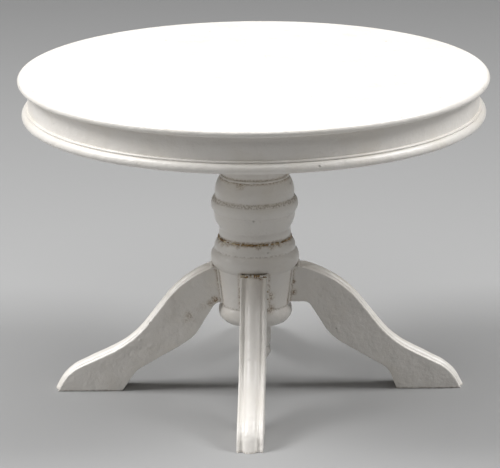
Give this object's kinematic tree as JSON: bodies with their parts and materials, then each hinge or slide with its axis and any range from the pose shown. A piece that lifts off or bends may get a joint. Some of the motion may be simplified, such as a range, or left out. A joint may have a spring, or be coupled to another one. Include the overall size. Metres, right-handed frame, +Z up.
{
  "type": "dolls house pedestal table",
  "caption": "Round pedestal dining table in miniature: moulded apron ring, turned column with bulb and rings, splayed scrolled legs with a reeded back, and a drop finial.",
  "frame": {"origin": "on the floor under the pedestal's axis", "axes": "+Z up along the pedestal, -Y along the front leg, +X along the right leg"},
  "size_m": [0.102, 0.102, 0.0715],
  "materials": {
    "painted_wood": "satin white paint over turned hardwood",
    "bare_wood": "unpainted beech",
    "old_glue": "dried brown glue at the joints"
  },
  "bodies": {
    "root": {"table_top": "painted_wood", "apron_ring": "painted_wood", "pedestal_cap": "painted_wood", "baluster": "painted_wood", "leg_hub": "painted_wood", "drop_finial": "painted_wood", "leg_right": "painted_wood", "leg_back": "painted_wood", "leg_left": "painted_wood", "leg_front": "painted_wood", "dowel_right_lower": "bare_wood", "dowel_right_upper": "bare_wood", "dowel_back_lower": "bare_wood", "dowel_back_upper": "bare_wood", "dowel_left_lower": "bare_wood", "dowel_left_upper": "bare_wood", "dowel_front_lower": "bare_wood", "dowel_front_upper": "bare_wood"}
  },
  "joints": []
}
